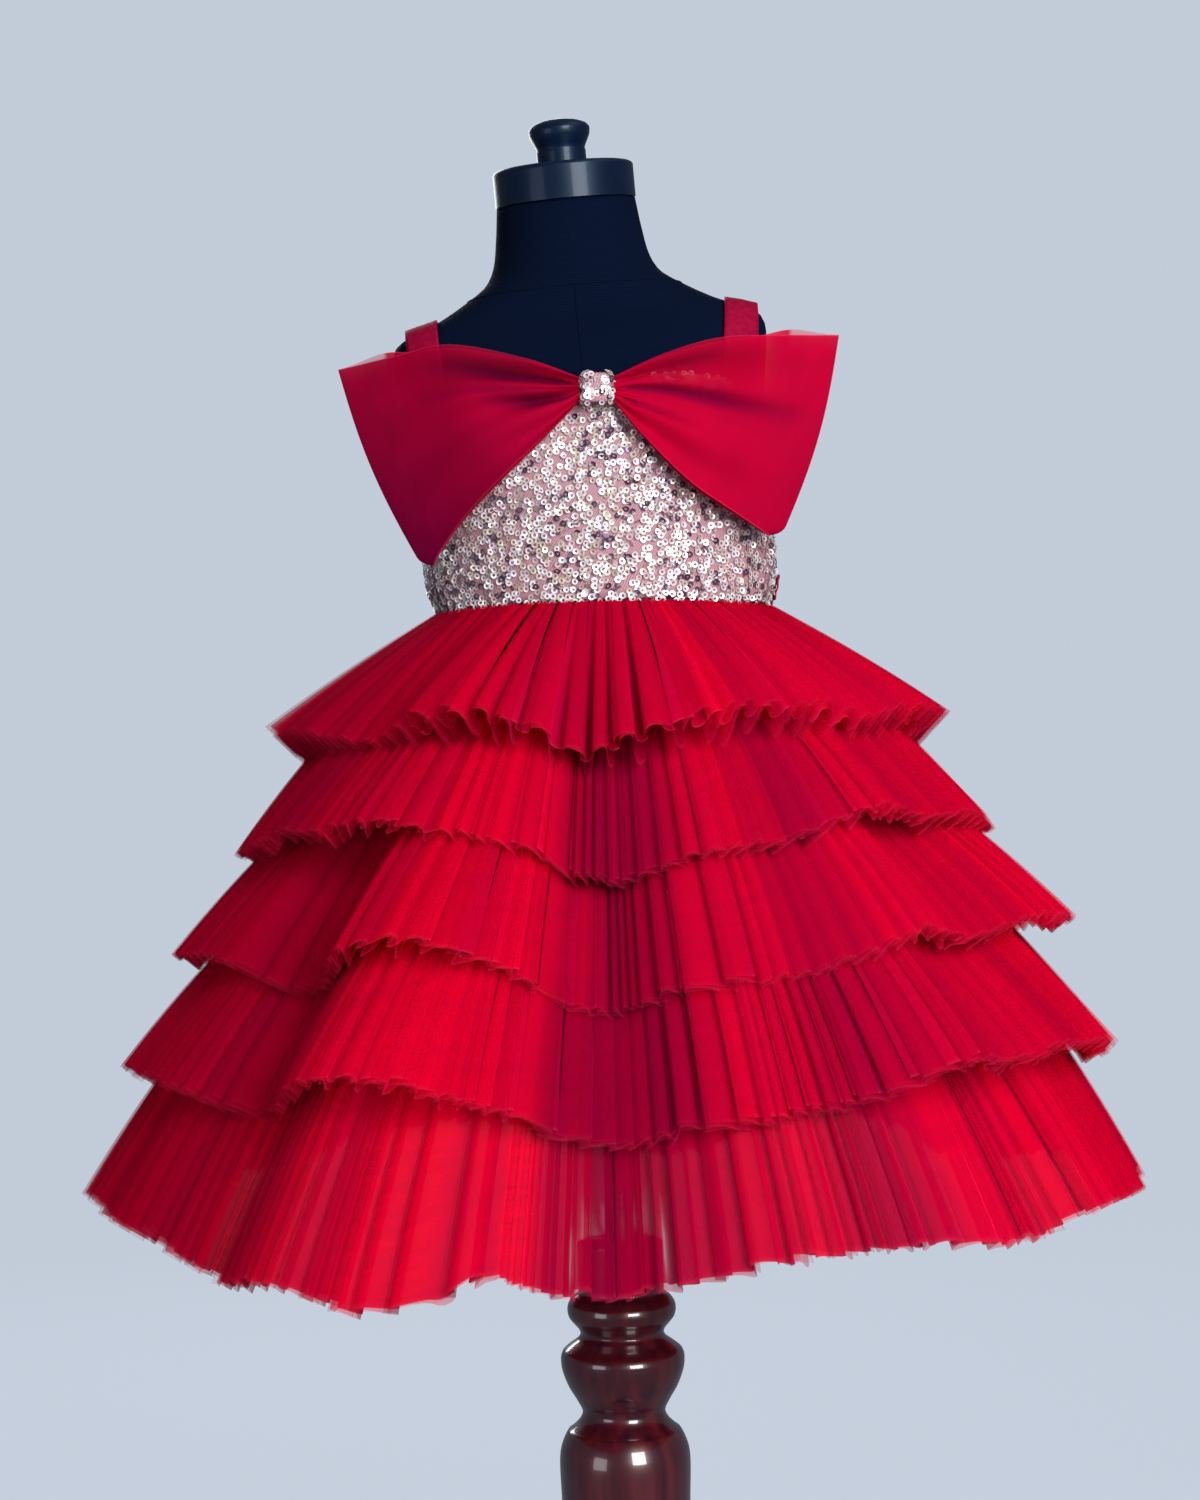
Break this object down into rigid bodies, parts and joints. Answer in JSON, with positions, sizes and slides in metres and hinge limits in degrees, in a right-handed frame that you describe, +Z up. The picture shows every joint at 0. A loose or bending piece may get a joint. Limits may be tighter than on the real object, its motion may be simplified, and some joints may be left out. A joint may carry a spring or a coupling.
{
  "type": "net frock on a dress form and stand",
  "caption": "Child's net frock with tiers of fine pleats, a sequinned bodice, a wide bow and flat straps, worn on a limbless dress form on a turned stand.",
  "frame": {"origin": "middle of the stand's underside, on the floor", "axes": "+Z up along the post, the frock's front faces -Y, +X towards the wearer's left arm"},
  "size_m": [0.5838, 0.5516, 1.1727],
  "materials": {
    "red_net": "matt translucent net",
    "red_ribbon": "smooth ribbon",
    "sequin_mesh": "mesh covered in silver sequins",
    "form_jersey": "fine black jersey",
    "cap_lacquer": "glossy",
    "rod_metal": "satin",
    "mahogany": "glossy varnish"
  },
  "bodies": {
    "root": {"bodice_front": "sequin_mesh", "bodice_back_left": "sequin_mesh", "bodice_back_right": "sequin_mesh", "strap_left": "red_ribbon", "strap_right": "red_ribbon", "sash_left": "red_ribbon", "sash_right": "red_ribbon", "bow_loop_left": "red_net", "bow_loop_right": "red_net", "bow_knot": "sequin_mesh", "skirt_base": "red_net", "tier_1": "red_net", "tier_2": "red_net", "tier_3": "red_net", "tier_4": "red_net", "tier_5": "red_net", "form_torso": "form_jersey", "form_neck_cap": "cap_lacquer", "form_knob": "cap_lacquer", "stand_rod": "rod_metal", "stand_post": "mahogany", "stand_base": "mahogany"}
  },
  "joints": []
}
